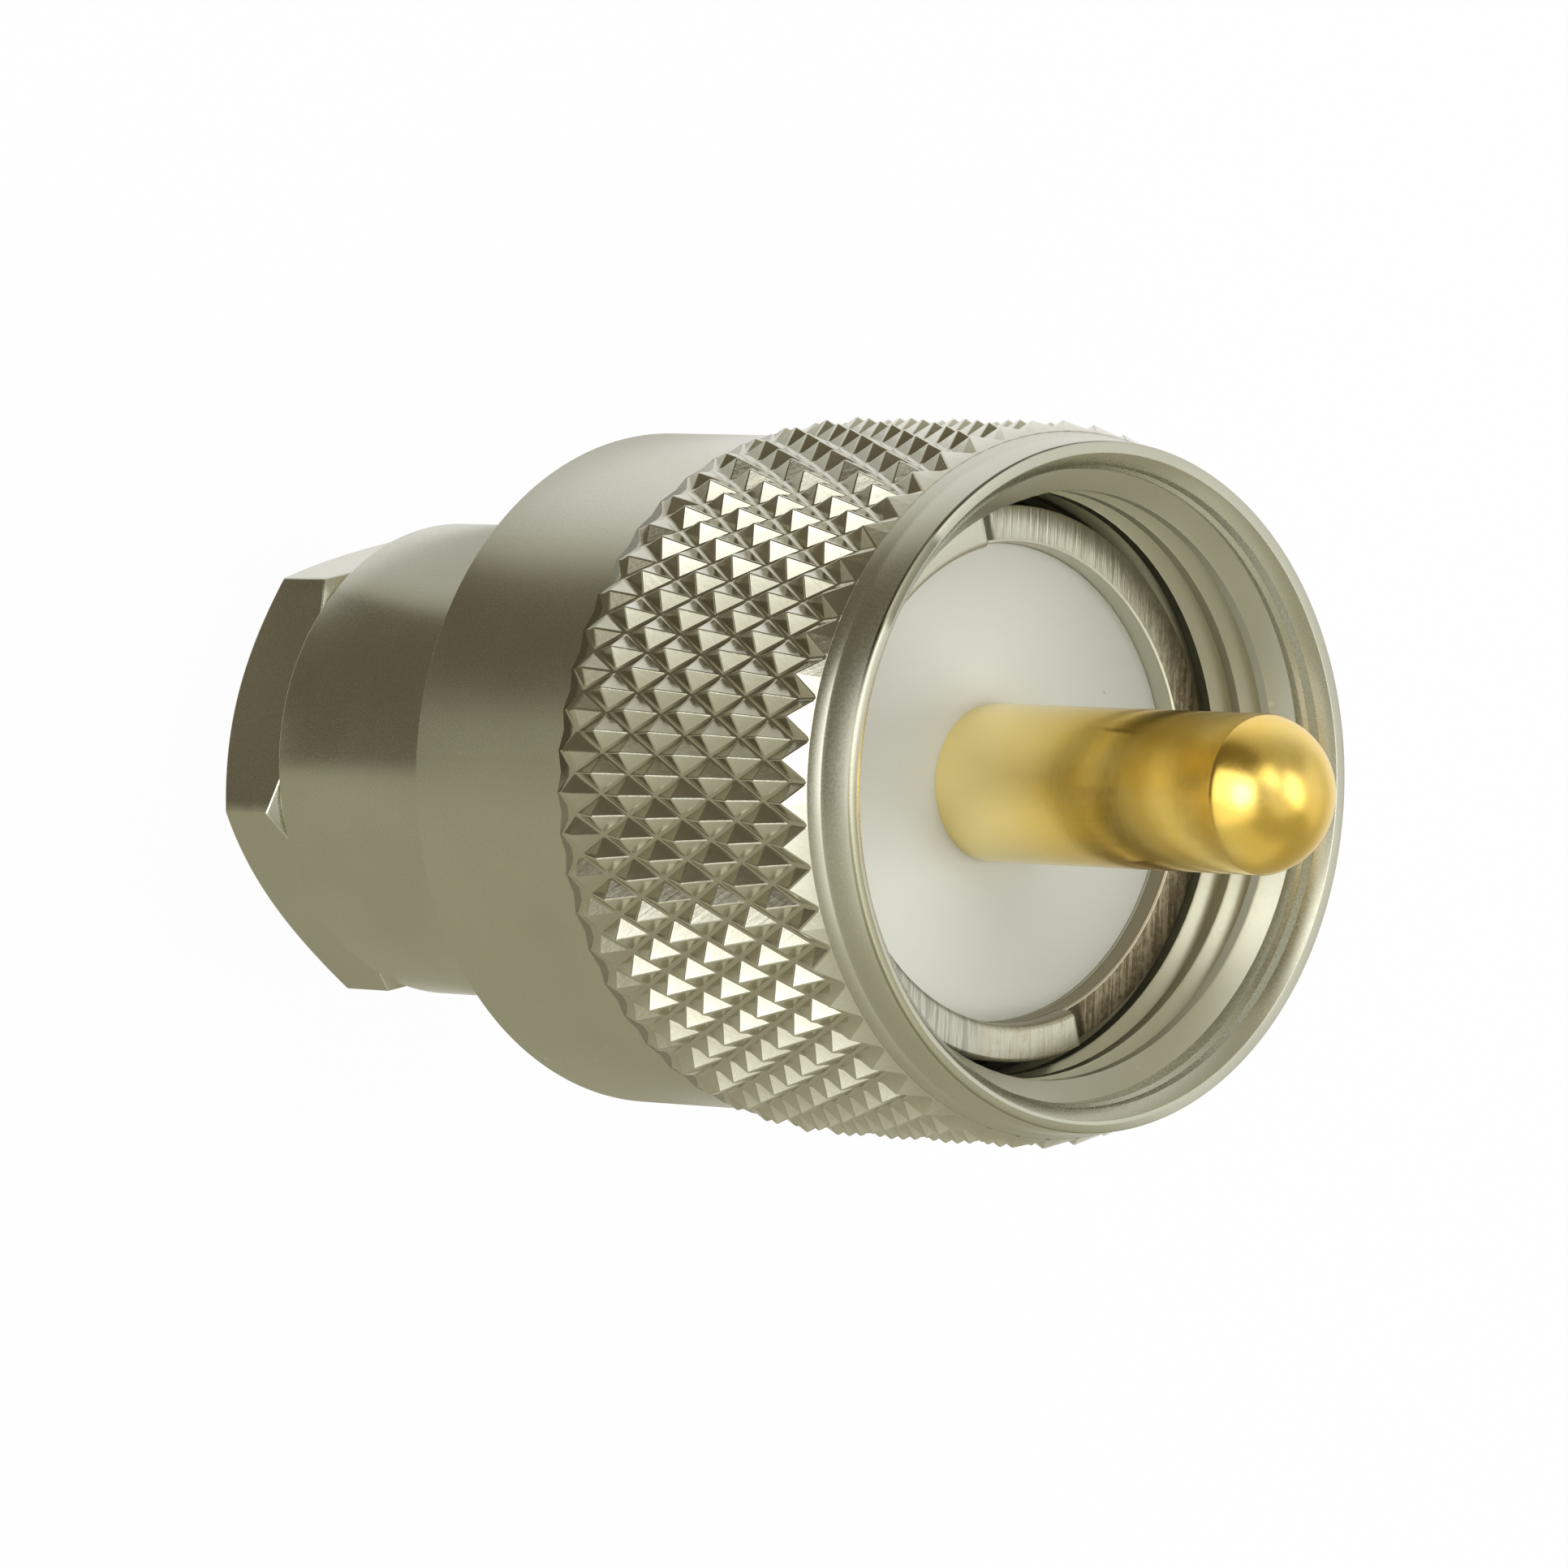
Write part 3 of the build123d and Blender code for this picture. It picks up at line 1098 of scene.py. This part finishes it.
@dataclass
class ClampNut:
    """Thin hexagon with chamfered ends and a bored shank."""

    flat_r: float = 5.525
    turn: float = 15.0
    long: float = 2.63
    rear_land: float = 0.105
    rear_drop: float = 0.75
    front_land: float = 0.275
    front_drop: float = 0.28
    land_in: float = 0.001
    shank_r: float = 4.71
    shank_z: float = 6.00
    shank_edge: float = 0.2
    bore_r: float = 2.65
    lead: float = 0.25
    per_side: int = 24
    merge: float = 0.0015
    edge: float = 0.05
    edge_over: float = 12.0
    nickel: Material = None

    def outline(self, angle: float) -> float:
        """Radius of the hexagon at an angle."""
        side = (angle - radians(self.turn)) % (TURN / 6) - TURN / 12
        return self.flat_r / cos(side)

    def build(self) -> list[Thing]:
        """Builds the nut ring by ring, from its bore round to its bore again."""
        piece = Piece("clamp_hexagon")
        bm = piece.bm
        corner_r = self.flat_r / cos(TURN / 12)
        rear_r = self.flat_r - self.rear_land
        front_r = self.flat_r + self.front_land
        rear_slope = self.rear_drop / (corner_r - rear_r)
        front_slope = self.front_drop / (corner_r - front_r)
        rings: list[Callable[[float], Band]] = [
            lambda a: (self.bore_r, self.lead),
            lambda a: (self.bore_r + self.lead, 0.0),
            lambda a: (rear_r, 0.0),
            lambda a: (self.outline(a), (self.outline(a) - rear_r) * rear_slope),
            lambda a: (self.outline(a), self.long - max(0.0, self.outline(a) - front_r) * front_slope),
            lambda a: (min(self.outline(a), front_r) - self.land_in, self.long),
            lambda a: (self.shank_r, self.long),
            lambda a: (self.shank_r, self.shank_z - self.shank_edge),
            lambda a: (self.shank_r - self.shank_edge, self.shank_z),
            lambda a: (self.bore_r, self.shank_z),
        ]
        verts = piece.circle(6 * self.per_side, radians(self.turn))
        edges = bm.edges[:]
        first = edges

        def shape(ring: Iterable[bmesh.types.BMVert], rule: Callable[[float], Band]) -> None:
            """Moves a ring of vertices to the radius and height of a rule."""
            for vert in ring:
                angle = atan2(vert.co.y, vert.co.x)
                radius, height = rule(angle)
                vert.co = (radius * cos(angle), radius * sin(angle), height)

        shape(verts, rings[0])
        for rule in rings[1:]:
            verts, edges = piece.grow(edges)
            shape(verts, rule)
        bmesh.ops.bridge_loops(bm, edges=first + edges)
        bmesh.ops.remove_doubles(bm, verts=bm.verts[:], dist=self.merge)
        piece.outward()
        piece.soften(self.edge, 2, self.edge_over)
        return [seat(piece.make(self.nickel), "clamp", "clamp_nut")]


@dataclass(frozen=True)
class Panel:
    """One soft panel of the studio: where it hangs, in degrees, and its light."""

    azimuth: float
    wide: float
    low: float
    high: float
    soft: float
    colour: Colour


@dataclass(frozen=True)
class Lamp:
    """One soft square lamp: its place and side in millimetres and its power in watts."""

    name: str
    place: Triple
    size: float
    power: float


@dataclass
class Studio:
    """Camera, lamps, floor, the soft panels that the metal mirrors and a card of painted floor shade that
    it mirrors too.
    """

    lens: float = 322.2
    sensor: float = 36.0
    clip: Band = (0.01, 10.0)
    eye: Triple = (-245.751, -0.241, 276.759)
    right: Triple = (0.72785, 0.04506, 0.68425)
    up: Triple = (-0.03276, 0.99898, -0.03093)
    back: Triple = (-0.68495, 0.0001, 0.72859)
    aim: Triple = (0.0, 0.0, 18.0)
    lamps: tuple[Lamp, ...] = (
        Lamp("top_light", (-60.0, 260.0, 210.0), 340.0, 0.72),
        Lamp("front_light", (-160.0, -60.0, 330.0), 200.0, 0.26),
        Lamp("side_light", (260.0, -40.0, 240.0), 200.0, 0.50),
    )
    sky: Colour = (0.80, 0.80, 0.78)
    sky_strength: float = 0.42
    white: Colour = (1.0, 1.0, 1.0)
    floor_colour: Colour = (0.80, 0.80, 0.79)
    floor_white: float = 0.97
    floor_half: float = 1200.0
    dome_r: float = 1.5
    dome_steps: int = 96
    floor_z: float = -2.4
    glow: float = 5.0
    room: Colour = (0.42, 0.40, 0.29)
    panels: tuple[Panel, ...] = (
        Panel(38, 52, -90, 12, 26, (1.0, 1.0, 0.98)),
        Panel(5, 32, 20, 62, 12, (0.87, 0.87, 0.81)),
        Panel(136, 24, -90, 40, 9, (0.15, 0.13, 0.085)),
        Panel(235, 60, -16, 30, 10, (0.66, 0.65, 0.52)),
        Panel(192, 28, -13, 45, 9, (1.30, 1.30, 1.18)),
        Panel(170, 18, -41, -22, 5, (0.14, 0.12, 0.08)),
        Panel(171, 19.5, -12, 45, 5, (2.15, 2.15, 2.05)),
        Panel(182, 14, 18, 42, 5, (5.0, 5.0, 4.6)),
        Panel(0, 180, 64, 90, 8, (0.80, 0.80, 0.74)),
        Panel(25, 58, 64, 90, 10, (2.7, 2.7, 2.5)),
        Panel(130, 16, 48, 80, 10, (2.3, 2.3, 2.1)),
    )
    # the card is the floor next to the plug as mirrors see it, with painted shade: darker than the white
    # floor all round, darkest towards azimuth 154
    card_r: Band = (8.35, 17.0)
    card_z: float = -0.02
    floor_shade_panels: tuple[Panel, ...] = (
        Panel(40, 78, -90, 90, 9, (0.56, 0.56, 0.50)),
        Panel(154, 31, -90, 90, 3, (0.15, 0.13, 0.085)),
    )

    def camera(self) -> None:
        """Sets the camera of the reference view."""
        data = bpy.data.cameras.new("camera")
        data.lens = self.lens
        data.sensor_width = self.sensor
        data.clip_start, data.clip_end = self.clip
        thing = add("camera", data)
        rows = Matrix((self.right, self.up, self.back)).transposed().to_4x4()
        thing.matrix_world = Matrix.Translation(Vector(self.eye) * MM) @ rows
        bpy.context.scene.camera = thing

    def light(self, lamp: Lamp) -> None:
        """Adds a soft area lamp that faces the plug and that no mirror shows.

        Args:
            lamp: The lamp.
        """
        data = bpy.data.lights.new(lamp.name, "AREA")
        data.shape = "SQUARE"
        data.size = lamp.size * MM
        data.energy = lamp.power
        thing = add(lamp.name, data)
        place = Vector(lamp.place)
        way = (Vector(self.aim) - place).normalized()
        facing = way.to_track_quat("-Z", "Y").to_matrix().to_4x4()
        thing.matrix_world = Matrix.Translation(place * MM) @ facing
        thing.visible_camera = False
        thing.visible_glossy = False

    def world(self) -> None:
        """Sets a pale world that camera, glossy and transmission rays see as white."""
        tree = ShaderTree("studio", world=True)
        room = tree.node("ShaderNodeBackground", {}, {"Color": self.sky, "Strength": self.sky_strength})
        white = tree.node("ShaderNodeBackground", {}, {"Color": self.white, "Strength": 1.0})
        mix = tree.node("ShaderNodeMixShader", {}, {0: tree.seen(), 1: room, 2: white})
        bpy.context.scene.world = tree.finish(mix)

    def floor(self) -> None:
        """Lays a white floor that keeps a faint shadow, just under the lowest pose of the clamp nut."""
        tree = ShaderTree("white_floor")
        matt = tree.node("ShaderNodeBsdfDiffuse", {}, {"Color": self.floor_colour})
        white = tree.node("ShaderNodeEmission", {}, {"Color": self.white, "Strength": 1.0})
        share = tree.seen() * self.floor_white
        material = tree.finish(tree.node("ShaderNodeMixShader", {}, {0: share, 1: matt, 2: white}))
        piece = Piece("floor")
        bmesh.ops.create_grid(piece.bm, x_segments=1, y_segments=1, size=self.floor_half)
        bmesh.ops.translate(piece.bm, vec=(0.0, 0.0, self.floor_z), verts=piece.bm.verts[:])
        thing = piece.make(material)
        thing.visible_glossy = False
        thing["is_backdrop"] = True

    def glowing(self, name: str, panels: Sequence[Panel]) -> Material:
        """Makes the glowing surface on which soft panels show.

        Args:
            name: Name of the material.
            panels: The panels, later ones over earlier ones.

        Returns:
            The material.
        """
        tree = ShaderTree(name)
        x, y, z = tree.axes(tree.place(scale=(MM, MM, MM)))
        flat = radial(x, y)
        height = z / self.dome_r
        colour: Union[Colour, Field] = tuple(c / self.glow for c in self.room)
        for panel in panels:
            edge = radians(panel.soft)
            mask: Value = 1.0
            if panel.wide < 180:
                along = toward(x, y, panel.azimuth) / flat
                wide = radians(panel.wide)
                mask = along.step(cos(wide + edge), cos(wide - edge))
            if panel.low > -90:
                low = radians(panel.low)
                mask = height.step(sin(low - edge), sin(low + edge)) * mask
            if panel.high < 90:
                high = radians(panel.high)
                mask = (1.0 - height.step(sin(high - edge), sin(high + edge))) * mask
            colour = tree.blend(mask, colour, tuple(c / self.glow for c in panel.colour))
        return tree.surface(
            Base_Color=(0.0, 0.0, 0.0), Specular_IOR_Level=0.0, Roughness=1.0,
            Emission_Color=colour, Emission_Strength=self.glow,
        )

    def surround(self) -> None:
        """Hangs the soft panels round the plug on a dome, and lays round its foot a card of painted floor
        shade, both of which only mirrors see.
        """
        steps = self.dome_steps
        dome = Piece("studio_dome")
        bmesh.ops.create_uvsphere(dome.bm, u_segments=steps, v_segments=steps // 2, radius=self.dome_r / MM)
        # a card of painted floor shade round the plug's foot
        card = Piece("floor_shade_card")
        card.spin([(radius, self.card_z) for radius in self.card_r], steps, closed=False)
        for piece, panels in ((dome, self.panels), (card, self.floor_shade_panels)):
            thing = piece.make(self.glowing(piece.name, panels))
            thing.visible_camera = False
            thing.visible_diffuse = False
            thing.visible_shadow = False
            thing.visible_transmission = False
            thing.visible_volume_scatter = False
            thing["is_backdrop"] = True

    def build(self) -> None:
        """Builds the studio."""
        self.camera()
        self.world()
        self.floor()
        for lamp in self.lamps:
            self.light(lamp)
        self.surround()
        bpy.context.scene.view_settings.view_transform = "Standard"


def dress(frame: dict, finishes: dict[str, Material]) -> None:
    """Gives the hidden CAD nodes their finishes.

    Args:
        finishes: Material for each node name.
    """
    for node, material in finishes.items():
        thing = frame["nodes"][node]
        thing.data.materials.clear()
        thing.data.materials.append(material)


def main() -> dict:
    """Builds the plug's looks and its studio.

    Returns:
        The boxes of the solids and of the dressed plug.
    """
    logging.basicConfig(level=logging.INFO, format="%(message)s")
    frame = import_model()
    boxes = {"cad": [list(corner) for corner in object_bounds()]}
    nickel = SatinNickel("satin_nickel").build()
    brass = PlainFinish("plain_brass", (0.60, 0.42, 0.17), 1.0, 0.35).build()
    rubber = PlainFinish("black_rubber", (0.03, 0.03, 0.03), 0.0, 0.6).build()
    Studio().build()
    threaded = SatinNickel("threaded_nickel", rough=0.33).build()
    # darker stretches on the rim of the nut's mouth
    rim = (
        Patch(130.0, 44.0, 8.61, (0.12, 0.11, 0.08)),
        Patch(144.0, 10.0, 8.40, (0.26, 0.25, 0.19)),
        Patch(230.0, 66.0, 8.45, (0.36, 0.345, 0.25)),
    )
    sleeve = SatinNickel("rim_nickel", patches=rim).build()
    CouplingNut(nickel=sleeve, knurled=KnurledNickel().build(), threaded=threaded).build()
    PlugBody(ring=MilledRing().build(), nickel=nickel).build()
    PinAndInsulator(gold=SatinGold().build(), polymer=WhitePolymer().build()).build()
    ClampNut(nickel=nickel).build()
    dress(frame, {"guide_ring": brass, "thrust_washer": brass, "braid_ferrule": nickel, "gasket": rubber})
    boxes["visual"] = [list(corner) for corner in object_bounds()]
    return boxes


if __name__ == "__main__":
    main()
